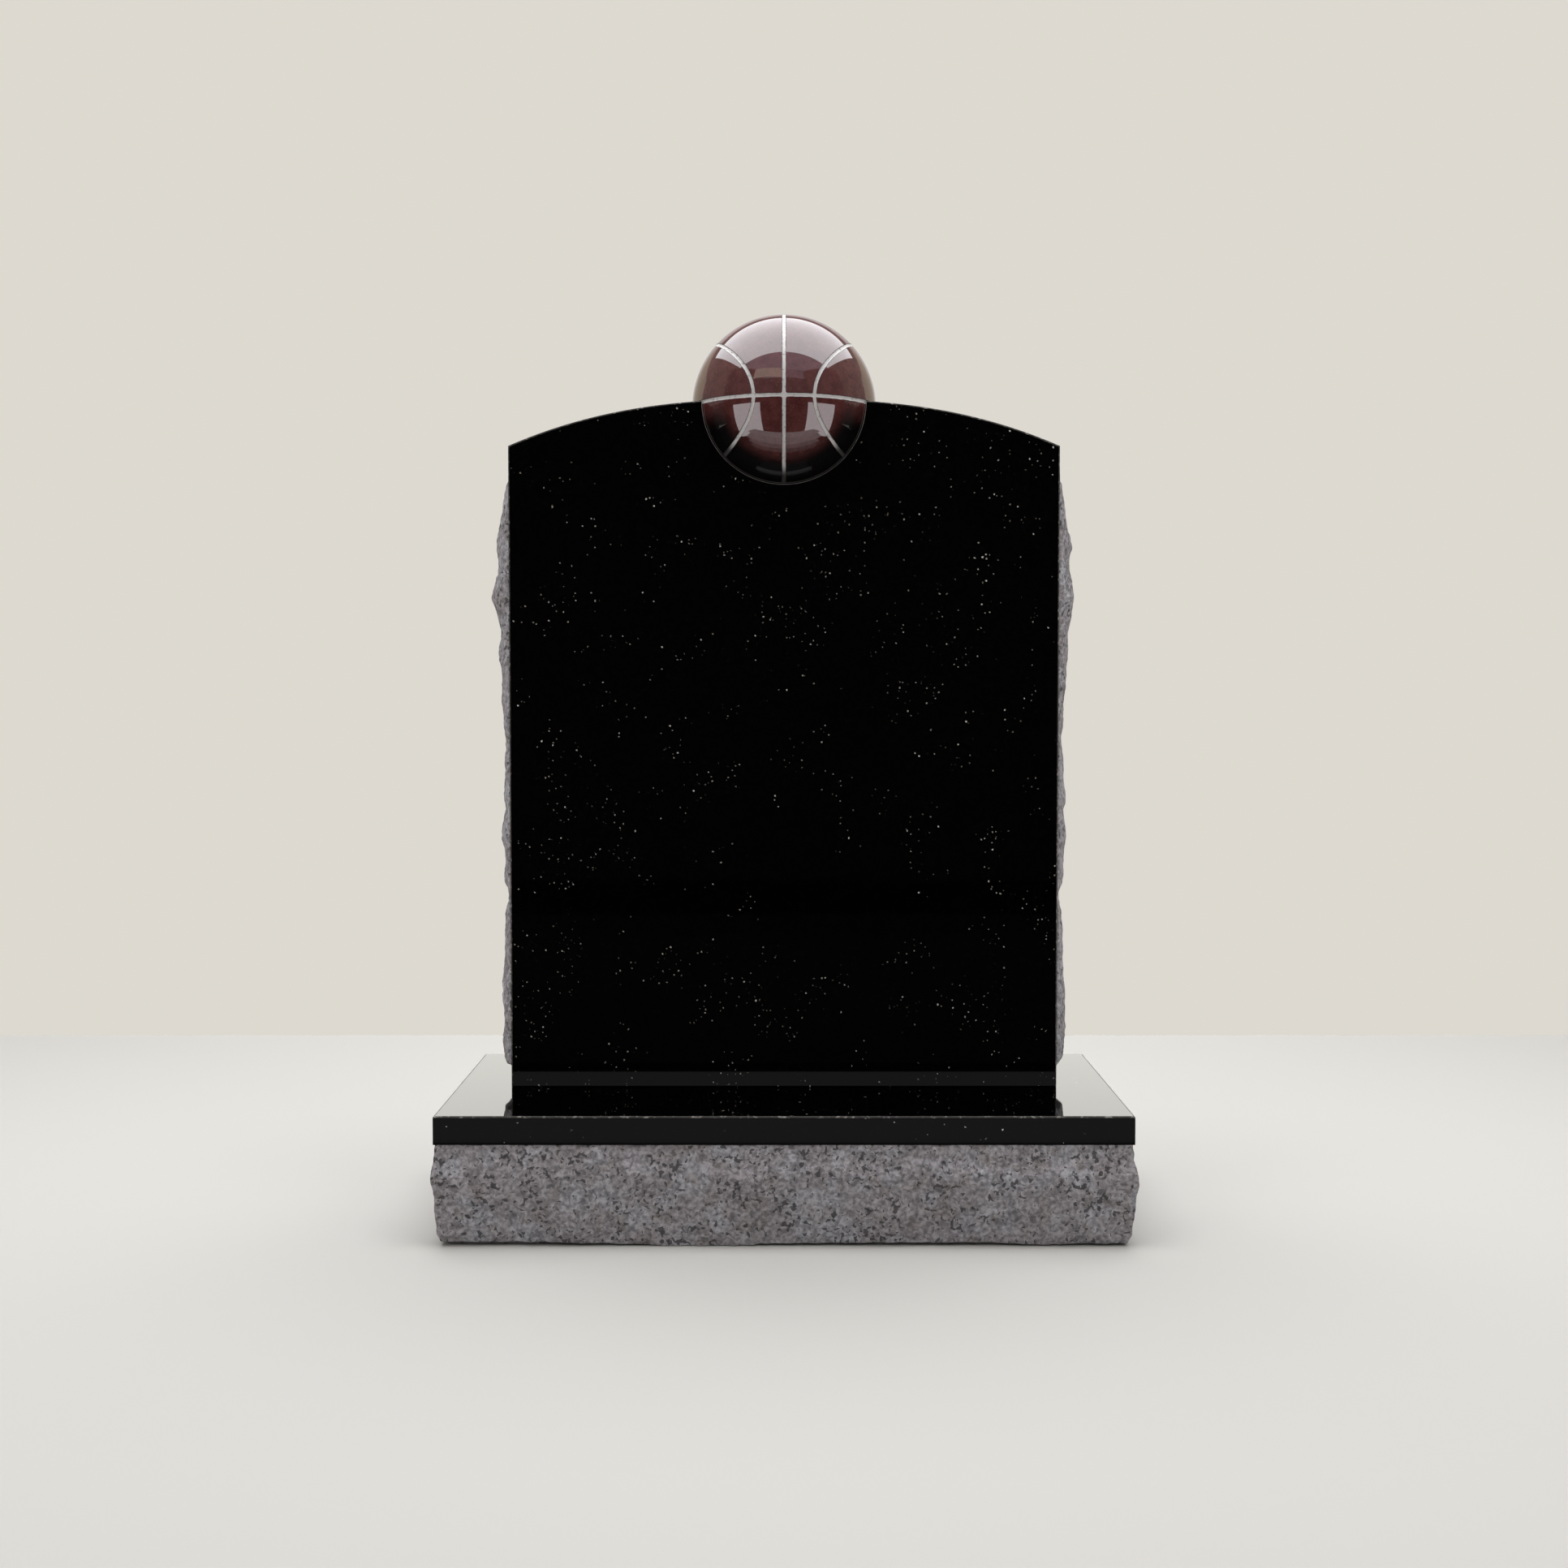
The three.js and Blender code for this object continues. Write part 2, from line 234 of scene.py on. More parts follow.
def smooth_with_sharp_arrises(piece: Piece, polished: float = 6.0, pitched: float = 32.0) -> None:
    """Shades a closed piece smooth, apart from edges that turn by more than an angle.

    Args:
        piece: the object to shade.
        polished: the turn in degrees past which an edge of a polished face stays sharp.
        pitched: the same for an edge between two rock-pitched faces.
    """
    mesh = piece.data
    mesh.polygons.foreach_set("use_smooth", np.ones(len(mesh.polygons), bool))
    edges = read_all(mesh.loops, "edge_index", np.int32)
    corners = read_all(mesh.polygons, "loop_total", np.int32)
    kinds = read_all(mesh.attributes["finish"].data, "value", np.int32)
    normals = np.empty(len(mesh.polygons) * 3)
    mesh.polygons.foreach_get("normal", normals)
    normals = normals.reshape(-1, 3)
    faces = np.repeat(np.arange(len(mesh.polygons)), corners)[np.argsort(edges, kind="stable")]
    first, second = faces[0::2], faces[1::2]
    turn = np.degrees(np.arccos(np.clip((normals[first] * normals[second]).sum(axis=1), -1, 1)))
    both_pitched = (kinds[first] == Finish.PITCHED.value) & (kinds[second] == Finish.PITCHED.value)
    sharp = mesh.attributes.get("sharp_edge") or mesh.attributes.new("sharp_edge", "BOOLEAN", "EDGE")
    sharp.data.foreach_set("value", turn > np.where(both_pitched, pitched, polished))


# Nodes


class NodeSheet:
    """Lays out and joins the nodes of one tree."""

    def __init__(self, tree: bpy.types.NodeTree) -> None:
        """Starts on an empty tree."""
        self.tree = tree
        tree.nodes.clear()

    def node(self, kind: str, inputs: dict | None = None, **settings: object) -> Node:
        """Adds a node.

        Args:
            kind: the node's type.
            inputs: values or sockets by the input's name or number.
            settings: the node's own properties.

        Returns:
            The new node.
        """
        made = self.tree.nodes.new(kind)
        for key, value in settings.items():
            setattr(made, key, value)
        for key, value in (inputs or {}).items():
            if isinstance(value, Socket):
                self.join(value, made.inputs[key])
            else:
                made.inputs[key].default_value = value
        return made

    def math(self, operation: str, *values: object, clamp: bool = False) -> Socket:
        """Adds a Math node on values or sockets and gives its result."""
        made = self.node("ShaderNodeMath", dict(enumerate(values)), operation=operation, use_clamp=clamp)
        return made.outputs[0]

    def ramp(self, value: Socket, low: float, high: float) -> Socket:
        """Eases a value from 0 at low to 1 at high."""
        inputs = {"Value": value, "From Min": low, "From Max": high}
        return self.node("ShaderNodeMapRange", inputs, interpolation_type="SMOOTHSTEP").outputs[0]

    def vector(self, operation: str, *values: object) -> Socket:
        """Adds a Vector Math node on values or sockets and gives its vector."""
        return self.node("ShaderNodeVectorMath", dict(enumerate(values)), operation=operation).outputs[0]

    def scaled(self, vector: Socket, factor: Socket) -> Socket:
        """Scales a vector by a factor."""
        return self.node("ShaderNodeVectorMath", {0: vector, "Scale": factor}, operation="SCALE").outputs[0]

    def bent(self, where: Socket, length: float, reach: float, detail: float) -> Socket:
        """Shifts coordinates by a noise of the length given, by up to the reach, both in metres."""
        shift = self.noise(where, length, detail).outputs["Color"]
        return self.vector("MULTIPLY_ADD", shift, (reach,) * 3, where)

    def patches(self, where: Socket, length: float, detail: float, low: float, high: float) -> Socket:
        """Gives soft patches: a noise of the length given, eased from 0 at low to 1 at high."""
        return self.ramp(self.noise(where, length, detail).outputs[0], low, high)

    def channels(self, colour: Socket) -> list[Socket]:
        """Gives the channels of a colour."""
        return list(self.node("ShaderNodeSeparateColor", {0: colour}).outputs)

    def toned(self, colour: object, tone: Socket) -> Socket:
        """Multiplies a colour by a tone."""
        tones = self.node("ShaderNodeCombineColor", {0: tone, 1: tone, 2: tone}).outputs[0]
        return self.mix(1.0, colour, tones, "MULTIPLY")

    def attribute(self, name: str, kind: str) -> Socket:
        """Reads a named attribute of a kind."""
        return self.node("GeometryNodeInputNamedAttribute", {"Name": name}, data_type=kind).outputs[0]

    def join(self, output: Socket, taken: Socket) -> None:
        """Joins an output to an input."""
        self.tree.links.new(output, taken)

    def bump(self, shader: Node, height: Socket, strength: float, distance: float) -> None:
        """Roughens a shader's surface by a height."""
        made = self.node("ShaderNodeBump", {"Strength": strength, "Distance": distance, "Height": height})
        self.join(made.outputs[0], shader.inputs["Normal"])

    def mix(self, share: object, first: object, second: object, blend: str = "MIX") -> Socket:
        """Mixes two colours by a share and gives the result."""
        inputs = {0: share, 6: first, 7: second}
        made = self.node("ShaderNodeMix", inputs, data_type="RGBA", blend_type=blend, clamp_factor=True)
        return made.outputs[2]

    def noise(self, where: Socket, length: float, detail: float = 2.0) -> Node:
        """Adds a Noise Texture whose lumps have the length given, in metres."""
        return self.node("ShaderNodeTexNoise", {"Vector": where, "Scale": 1 / length, "Detail": detail})

    def cells(self, where: Socket, length: float, distance: str = "EUCLIDEAN") -> Node:
        """Adds a Voronoi Texture whose cells have the length given, in metres."""
        return self.node("ShaderNodeTexVoronoi", {"Vector": where, "Scale": 1 / length}, distance=distance)


def grey(value: float, red: float = 1.0, green: float = 1.0, blue: float = 1.0) -> tuple:
    """Gives an opaque linear colour of a value, tinted by a factor for each channel."""
    return (value * red, value * green, value * blue, 1.0)


@dataclass(frozen=True)
class StoneFinish:
    """A finish of stone. Each kind of stone lays its own nodes over this."""

    name: str
    roughness: float
    ior: float

    def material(self) -> bpy.types.Material:
        """Builds the material, or gives it if it is there already."""
        there = bpy.data.materials.get(self.name)
        if there:
            return there
        made = bpy.data.materials.new(self.name)
        made.use_nodes = True
        sheet = NodeSheet(made.node_tree)
        shader = sheet.node("ShaderNodeBsdfPrincipled", {"Roughness": self.roughness, "IOR": self.ior})
        sheet.node("ShaderNodeOutputMaterial", {"Surface": shader.outputs[0]})
        where = sheet.node("ShaderNodeTexCoord").outputs["Object"]
        self.lay(sheet, shader, where)
        return made

    def lay(self, sheet: NodeSheet, shader: Node, where: Socket) -> None:
        """Lays the nodes that this stone needs."""


@dataclass(frozen=True)
class PaintedLightBand(StoneFinish):
    """A narrow band of one tone that is painted light: the painted highlight on the socket's ground rim, or
    the painted shade on the walls of the ball's seams.
    """

    tone: tuple

    def lay(self, sheet: NodeSheet, shader: Node, where: Socket) -> None:
        """Sets the one tone."""
        shader.inputs["Base Color"].default_value = self.tone


# Painted highlight: the pale tone of the socket's ground rim stands in for the light that the rim's arris
# catches.
GROUND_RIM = PaintedLightBand("ground_rim", 0.5, 1.5, grey(0.80, 1.0, 0.98, 0.95))
# Painted shade: a near-black tone on the seams' walls, between the paint and the lip, for the shadow in the
# grooves.
SEAM_WALL_PAINTED_SHADE = PaintedLightBand("seam_edge", 0.4, 1.5, grey(0.012, 1.0, 0.55, 0.5))


@dataclass(frozen=True)
class PolishedBlackGranite(StoneFinish):
    """Near-black granite polished to a mirror, with sparse bronze flecks of mica.

    A patch is given as length, detail, low and high. A layer is given as spacing, size and share.
    """

    name: str = "polished_black_granite"
    roughness: float = 0.045
    ior: float = 1.55
    ground: tuple = grey(0.0005, 1.0, 1.02, 1.04)
    ground_light: tuple = grey(0.0013, 1.0, 1.0, 1.02)
    bronze: tuple = grey(0.50, 1.14, 0.98, 0.80)
    silver: tuple = grey(0.66, 1.0, 0.98, 0.94)
    mottle: tuple = (0.004, 3.0, 0.45, 0.7)
    cluster: tuple = (0.035, 1.0, 0.40, 0.72)
    crowd: float = 2.9
    layers: tuple = ((0.0036, 0.19, 0.16), (0.0075, 0.15, 0.10))
    size_power: float = 2.2
    smallest: float = 0.2
    bend: tuple = (0.0017, 0.0016, 1.0)
    dim_power: float = 1.5
    dimmest: float = 0.18

    def flecks(self, sheet: NodeSheet, where: Socket, spacing: float, size: float,
               share: float) -> tuple[Socket, Socket]:
        """Lays one layer of flecks.

        Args:
            sheet: the tree to lay on.
            where: the coordinates.
            spacing: the length of the cells that hold at most one fleck each.
            size: the largest fleck's half width, as a share of a cell.
            share: about how many of the cells hold a fleck.

        Returns:
            The flecks' mask and a random number for each fleck.
        """
        cells = sheet.cells(where, spacing, "CHEBYCHEV")
        draw = sheet.channels(cells.outputs["Color"])
        wanted = sheet.math("MULTIPLY", sheet.patches(where, *self.cluster), share * self.crowd)
        chosen = sheet.math("LESS_THAN", draw[1], wanted)
        small = sheet.math("POWER", draw[0], self.size_power)
        reach = sheet.math("MULTIPLY_ADD", small, size * (1 - self.smallest), size * self.smallest)
        inside = sheet.math("LESS_THAN", cells.outputs["Distance"], reach)
        return sheet.math("MULTIPLY", chosen, inside), draw[2]

    def lay(self, sheet: NodeSheet, shader: Node, where: Socket) -> None:
        """Lays a faintly mottled black ground and the layers of angular flecks over it."""
        colour = sheet.mix(sheet.patches(where, *self.mottle), self.ground, self.ground_light)
        bent = sheet.bent(where, *self.bend)
        for layer in self.layers:
            mask, draw = self.flecks(sheet, bent, *layer)
            dim = sheet.math("POWER", draw, self.dim_power)
            dim = sheet.math("MULTIPLY_ADD", dim, 1 - self.dimmest, self.dimmest)
            colour = sheet.mix(mask, colour, sheet.toned(sheet.mix(draw, self.bronze, self.silver), dim))
        sheet.join(colour, shader.inputs["Base Color"])


@dataclass(frozen=True)
class HonedGranite(StoneFinish):
    """The dull, slightly chipped line that is left where an arris is rubbed, and the sawn underside."""

    name: str = "honed_granite"
    roughness: float = 0.55
    ior: float = 1.5
    ground: tuple = grey(0.040, 1.04, 1.0, 0.97)
    chipped: tuple = grey(0.26, 1.05, 1.0, 0.94)
    chips: tuple = (0.0035, 3.0, 0.54, 0.70)

    def lay(self, sheet: NodeSheet, shader: Node, where: Socket) -> None:
        """Lays a dull ground with small pale chips."""
        colour = sheet.mix(sheet.patches(where, *self.chips), self.ground, self.chipped)
        sheet.join(colour, shader.inputs["Base Color"])


@dataclass(frozen=True)
class PitchedGranite(StoneFinish):
    """The same granite where it is broken: rough, mottled purple-grey with dark specks.

    A patch is given as length, detail, low and high, and a tint as its patch, its share and its colour.
    """

    name: str = "rock_pitched_granite"
    roughness: float = 0.82
    ior: float = 1.5
    ground: tuple = grey(0.292, 1.04, 0.965, 1.045)
    dark: tuple = grey(0.040, 1.0, 0.98, 1.04)
    bend: tuple = (0.007, 0.006, 2.0)
    tints: tuple = (
        ((0.026, 4.0, 0.42, 0.66), 0.9, grey(0.365, 0.985, 0.985, 1.085)),
        ((0.017, 3.0, 0.52, 0.66), 0.7, grey(0.235, 1.07, 0.965, 0.985)),
    )
    crystal_length: float = 0.0026
    crystal_tone: float = 0.28
    grain: tuple = (0.0038, 3.0, 0.30, 0.70)
    grain_tone: float = 0.76
    least_tone: float = 0.51
    mottle: tuple = (0.0085, 3.0, 0.30, 0.50)
    mottle_share: float = 0.38
    crowd: tuple = (0.024, 2.0, 0.36, 0.62)
    speck_length: float = 0.0042
    speck_bar: float = 0.675
    speck_ease: float = 0.100
    speck_share: float = 0.82
    crumb_length: float = 0.0034
    crystal_height: float = 0.22
    bump_strength: float = 0.9
    bump_distance: float = 0.0019

    def lay(self, sheet: NodeSheet, shader: Node, where: Socket) -> None:
        """Lays cool and warm patches, crystals, dark specks and the bump of the broken grain."""
        bent = sheet.bent(where, *self.bend)
        colour = self.ground
        for patch, share, tint in self.tints:
            colour = sheet.mix(sheet.math("MULTIPLY", sheet.patches(bent, *patch), share), colour, tint)
        draw = sheet.channels(sheet.cells(bent, self.crystal_length).outputs["Color"])
        tone = sheet.math("MULTIPLY_ADD", draw[0], self.crystal_tone, self.least_tone)
        tone = sheet.math("MULTIPLY_ADD", sheet.patches(bent, *self.grain), self.grain_tone, tone)
        colour = sheet.toned(colour, tone)
        mottle = sheet.patches(bent, *self.mottle)
        mottle = sheet.math("MULTIPLY_ADD", mottle, -self.mottle_share, self.mottle_share)
        colour = sheet.mix(mottle, colour, self.dark)
        bar = sheet.math("MULTIPLY_ADD", sheet.patches(where, *self.crowd), -self.speck_ease, self.speck_bar)
        specks = sheet.math("GREATER_THAN", sheet.noise(bent, self.speck_length, 2.0).outputs[0], bar)
        colour = sheet.mix(sheet.math("MULTIPLY", specks, self.speck_share), colour, self.dark)
        sheet.join(colour, shader.inputs["Base Color"])
        crumbs = sheet.noise(where, self.crumb_length, 6.0).outputs[0]
        height = sheet.math("MULTIPLY_ADD", draw[2], self.crystal_height, crumbs)
        sheet.bump(shader, height, self.bump_strength, self.bump_distance)


@dataclass(frozen=True)
class PaintedSeatShade:
    """Painted shade: the ball darkens where it meets its socket, standing in for the shade there and for the
    black tablet that it mirrors.
    """

    clear_reach: float = 0.046
    full_reach: float = 0.0615
    most: float = 0.99
    clear_height: float = 0.002
    full_height: float = -0.026

    def lay(self, sheet: NodeSheet, where: Socket) -> Socket:
        """Lays the nodes that tell how dark the painted shade makes the ball at a point.

        Args:
            sheet: the tree to lay on.
            where: the coordinates.

        Returns:
            A share of painted shade, from 0 for unshaded stone to most at the socket.
        """
        away = sheet.vector("SUBTRACT", where, tuple(BallSizes().centre))
        flat = sheet.vector("MULTIPLY", away, (1.0, 0.0, 1.0))
        reach = sheet.node("ShaderNodeVectorMath", {0: flat}, operation="LENGTH").outputs["Value"]
        near = sheet.ramp(reach, self.clear_reach, self.full_reach)
        height = sheet.node("ShaderNodeSeparateXYZ", {0: away}).outputs[2]
        below = sheet.ramp(height, self.clear_height, self.full_height)
        return sheet.math("MULTIPLY", sheet.math("MULTIPLY", near, below), self.most)


@dataclass(frozen=True)
class PolishedRedGranite(StoneFinish):
    """Dark red-brown granite polished to a mirror, with a fine darker and lighter mottle.

    A patch is given as length, detail, low and high.
    """

    name: str = "polished_red_granite"
    roughness: float = 0.03
    ior: float = 1.85
    ground: tuple = grey(0.100, 1.0, 0.32, 0.31)
    deep: tuple = grey(0.072, 1.0, 0.29, 0.28)
    bright: tuple = grey(0.135, 1.0, 0.40, 0.38)
    painted_shade_tone: tuple = grey(0.002)
    bend: tuple = (0.005, 0.003, 2.0)
    cloud: tuple = (0.009, 3.0, 0.32, 0.66)
    crystal_length: float = 0.0019
    crystal_tone: float = 0.26
    least_tone: float = 0.87
    grain_length: float = 0.0027
    grain_chance: float = 0.14
    grain_reach: float = 0.3
    grain_share: float = 0.6

    def lay(self, sheet: NodeSheet, shader: Node, where: Socket) -> None:
        """Lays deep clouds, small crystals, a few brighter grains and the painted shade at the socket."""
        bent = sheet.bent(where, *self.bend)
        colour = sheet.mix(sheet.patches(bent, *self.cloud), self.deep, self.ground)
        draw = sheet.channels(sheet.cells(bent, self.crystal_length).outputs["Color"])
        tone = sheet.math("MULTIPLY_ADD", draw[0], self.crystal_tone, self.least_tone)
        colour = sheet.toned(colour, tone)
        grains = sheet.cells(bent, self.grain_length)
        chosen = sheet.math("LESS_THAN", sheet.channels(grains.outputs["Color"])[1], self.grain_chance)
        inside = sheet.math("LESS_THAN", grains.outputs["Distance"], self.grain_reach)
        mask = sheet.math("MULTIPLY", sheet.math("MULTIPLY", chosen, inside), self.grain_share)
        colour = sheet.mix(mask, colour, self.bright)
        # Painted shade: the stone is darkened near the socket, below the ball's middle.
        colour = sheet.mix(PaintedSeatShade().lay(sheet, where), colour, self.painted_shade_tone)
        sheet.join(colour, shader.inputs["Base Color"])


@dataclass(frozen=True)
class SeamPaint(StoneFinish):
    """Pale grey paint in the ball's seams, worn through here and there."""

    name: str = "seam_paint"
    roughness: float = 0.45
    ior: float = 1.5
    pale: tuple = grey(0.56, 1.0, 0.97, 0.98)
    worn: tuple = grey(0.17, 1.05, 0.93, 0.93)
    painted_shade_tone: tuple = grey(0.02)
    wear: tuple = (0.0035, 4.0, 0.56, 0.74)
    shade: PaintedSeatShade = PaintedSeatShade(0.058, 0.069, 0.97)
    brush_length: float = 0.0012
    bump_strength: float = 0.3
    bump_distance: float = 0.0003

    def lay(self, sheet: NodeSheet, shader: Node, where: Socket) -> None:
        """Lays a patchy wear, the painted shade at the socket and a slight brush texture."""
        colour = sheet.mix(sheet.patches(where, *self.wear), self.pale, self.worn)
        # Painted shade: the paint darkens towards the seams' lower ends at the socket.
        colour = sheet.mix(self.shade.lay(sheet, where), colour, self.painted_shade_tone)
        sheet.join(colour, shader.inputs["Base Color"])
        brushed = sheet.noise(where, self.brush_length, 3.0).outputs[0]
        sheet.bump(shader, brushed, self.bump_strength, self.bump_distance)


@dataclass(frozen=True)
class ReliefRule:
    """Geometry nodes that break up the rock-pitched faces and give every face its finish."""

    chip_length: float = 0.015
    chip_depth: float = 0.0026
    grain_length: float = 0.0062
    grain_depth: float = 0.0014
    seed: float = 4.0
    bowl_power: float = 1.7
    bowl_mean: float = 0.42
    grain_detail: float = 4.0
    grain_roughness: float = 0.62

    def inputs(self) -> dict[str, tuple[str, object]]:
        """Gives the kind and the value of each of the tree's inputs: its sizes, its seed and the finishes."""
        return {
            "Chip length": ("Float", self.chip_length),
            "Chip depth": ("Float", self.chip_depth),
            "Grain length": ("Float", self.grain_length),
            "Grain depth": ("Float", self.grain_depth),
            "Seed": ("Float", self.seed),
            "Polished": ("Material", PolishedBlackGranite().material()),
            "Pitched": ("Material", PitchedGranite().material()),
            "Honed": ("Material", HonedGranite().material()),
            "Rim": ("Material", GROUND_RIM.material()),
        }

    def sheet(self) -> NodeSheet:
        """Starts the node tree, with its named inputs and its output."""
        tree = bpy.data.node_groups.new("pitched_relief", "GeometryNodeTree")
        tree.interface.new_socket("Geometry", in_out="INPUT", socket_type="NodeSocketGeometry")
        for name, (kind, _) in self.inputs().items():
            tree.interface.new_socket(name, in_out="INPUT", socket_type=f"NodeSocket{kind}")
        tree.interface.new_socket("Geometry", in_out="OUTPUT", socket_type="NodeSocketGeometry")
        return NodeSheet(tree)

    def tree(self) -> bpy.types.NodeTree:
        """Builds the node tree: chips and grain along the normals, then a material for each finish."""
        sheet = self.sheet()
        given = sheet.node("NodeGroupInput").outputs
        where = sheet.node("GeometryNodeInputPosition").outputs[0]
        shift = sheet.noise(where, self.chip_length, 1.0).outputs["Color"]
        pull = sheet.scaled(sheet.vector("SUBTRACT", shift, (0.5,) * 3), given["Chip length"])
        place_and_seed = {"Vector": sheet.vector("ADD", where, pull), "W": given["Seed"]}
        chip_scale = {"Scale": sheet.math("DIVIDE", 1.0, given["Chip length"])}
        chips = sheet.node("ShaderNodeTexVoronoi", place_and_seed | chip_scale, voronoi_dimensions="4D")
        steep = sheet.math("POWER", chips.outputs["Distance"], self.bowl_power)
        bowl = sheet.math("SUBTRACT", steep, self.bowl_mean)
        texture = {"Detail": self.grain_detail, "Roughness": self.grain_roughness}
        texture["Scale"] = sheet.math("DIVIDE", 1.0, given["Grain length"])
        grain = sheet.node("ShaderNodeTexNoise", place_and_seed | texture, noise_dimensions="4D")
        crumb = sheet.math("MULTIPLY", sheet.math("SUBTRACT", grain.outputs[0], 0.5), 2.0)
        depth = sheet.math("MULTIPLY", bowl, given["Chip depth"])
        depth = sheet.math("MULTIPLY_ADD", crumb, given["Grain depth"], depth)
        depth = sheet.math("MULTIPLY", depth, sheet.attribute("pitch_share", "FLOAT"))
        offset = sheet.scaled(sheet.node("GeometryNodeInputNormal").outputs[0], depth)
        placed = sheet.node("GeometryNodeSetPosition", {"Geometry": given["Geometry"], "Offset": offset})
        whole = {"Geometry": placed.outputs[0], "Material": given["Polished"]}
        dressed = sheet.node("GeometryNodeSetMaterial", whole)
        dressed = sheet.node("GeometryNodeRealizeInstances", {"Geometry": dressed.outputs[0]})
        kind = sheet.attribute("finish", "INT")
        names = {Finish.PITCHED: "Pitched", Finish.HONED: "Honed", Finish.GROUND_RIM: "Rim"}
        for finish, name in names.items():
            both = {2: kind, 3: finish.value}
            same = sheet.node("FunctionNodeCompare", both, data_type="INT", operation="EQUAL")
            part = {"Geometry": dressed.outputs[0], "Selection": same.outputs[0], "Material": given[name]}
            dressed = sheet.node("GeometryNodeSetMaterial", part)
        sheet.node("NodeGroupOutput", {"Geometry": dressed.outputs[0]})
        return sheet.tree

    def apply(self, piece: Piece) -> None:
        """Roughens a piece, gives its faces their finishes and leaves it a plain mesh.

        Args:
            piece: an object with the attributes finish and pitch_share.
        """
        tree = bpy.data.node_groups.get("pitched_relief") or self.tree()
        modifier = piece.modifiers.new("relief", "NODES")
        modifier.node_group = tree
        inputs = self.inputs()
        for item in tree.interface.items_tree:
            if item.in_out == "INPUT" and item.name in inputs:
                modifier[item.identifier] = inputs[item.name][1]
        bpy.context.view_layer.update()
        graph = bpy.context.evaluated_depsgraph_get()
        made = bpy.data.meshes.new_from_object(piece.evaluated_get(graph), depsgraph=graph)
        piece.modifiers.clear()
        piece.data = made
        made.name = piece.name


# Stones


@dataclass(frozen=True)
class Base:
    """The low block: a polished top and margin over rock-pitched faces."""

    width: float = 0.6096
    depth: float = 0.3048
    margin: float = 0.025
    arris: float = 0.0015
    roughness: float = 0.0024
    proud_limit: float = 0.0042
    foot_undercut: float = 0.009
    foot_lift: float = 0.0026
    foot_seed: int = 11
    step: float = 0.0023
    rows: int = 40
    arris_steps: int = 4
    wave_power: float = 0.7
    settle_share: float = 0.25
    profile: tuple = (
        (0.0, -0.005),
        (0.12, -0.003),
        (0.42, 0.0),
        (0.7, 0.0024),
        (0.88, -0.0006),
        (1.0, -0.0016),
    )

    @property
    def height(self) -> float:
        """The height of the polished top, from the frame."""
        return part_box("base")[1].z

    def square(self) -> np.ndarray:
        """Gives points round a square from -1 to 1, counterclockwise from above."""
        corners = np.array([[-1, -1], [1, -1], [1, 1], [-1, 1]], float)
        sides = []
        for side, start in enumerate(corners):
            end = corners[(side + 1) % 4]
            length = self.width if start[1] == end[1] else self.depth
            steps = math.ceil(length / self.step)
            sides.append(start + (end - start) * np.arange(steps)[:, None] / steps)
        return np.concatenate(sides)

    def ring(self, z: float, reach: np.ndarray | float, lift: np.ndarray | float = 0.0) -> np.ndarray:
        """Gives one ring of the outline.

        Args:
            z: its height.
            reach: how far each point stands out beyond the nominal block.
            lift: how far each point stands above z.

        Returns:
            The ring's points.
        """
        across, along = self.square().T
        return points_at(across * (self.width / 2 + reach), along * (self.depth / 2 + reach), z + lift)

    def rock_reach(self, z: float) -> np.ndarray:
        """Gives how far the broken face stands out at each point round the block at a height."""
        share = np.full(len(self.square()), z / (self.height - self.margin))
        relief = BrokenStone().relief(self.ring(z, 0.0))
        waves = self.roughness * np.sin(np.pi * np.clip(share, 0, 1)) ** self.wave_power * relief
        return np.minimum(along_profile(self.profile, share) + waves, self.proud_limit)

    def build(self) -> Piece:
        """Builds the block, dresses it and puts it in the place of its solid."""
        rock_height = self.height - self.margin
        stone = BrokenStone()
        flat = self.ring(0.0, 0.0) / MILLIMETRE / stone.lump_length
        lift = self.foot_lift * (1 + stone.lumps(flat, self.foot_seed))
        rings = [self.ring(0.0, self.profile[0][1] - self.foot_undercut)]
        rings.append(self.ring(0.0, self.rock_reach(0.0), lift))
        for row in range(1, self.rows + 1):
            z = rock_height * row / self.rows
            settle = lift * max(0.0, 1 - row / (self.settle_share * self.rows))
            rings.append(self.ring(z, self.rock_reach(z), settle))
        rings.append(self.ring(rock_height, 0.0))
        for turn in np.linspace(0, math.pi / 2, self.arris_steps + 1):
            z = self.height - self.arris * (1 - math.sin(turn))
            rings.append(self.ring(z, -self.arris * (1 - math.cos(turn))))
        stack = np.array(rings)
        finish = np.full((len(stack) - 1, stack.shape[1]), Finish.POLISHED.value)
        finish[: self.rows + 2] = Finish.PITCHED.value
        finish[-self.arris_steps :] = Finish.HONED.value
        share = np.zeros(stack.shape[:2])
        share[1 : self.rows + 1] = 1.0
        piece = mesh_through_rings("base_stone", stack, finish, (Finish.HONED, Finish.POLISHED), share)
        ReliefRule().apply(piece)
        smooth_with_sharp_arrises(piece)
        return place(piece, "base", "pitched_granite")


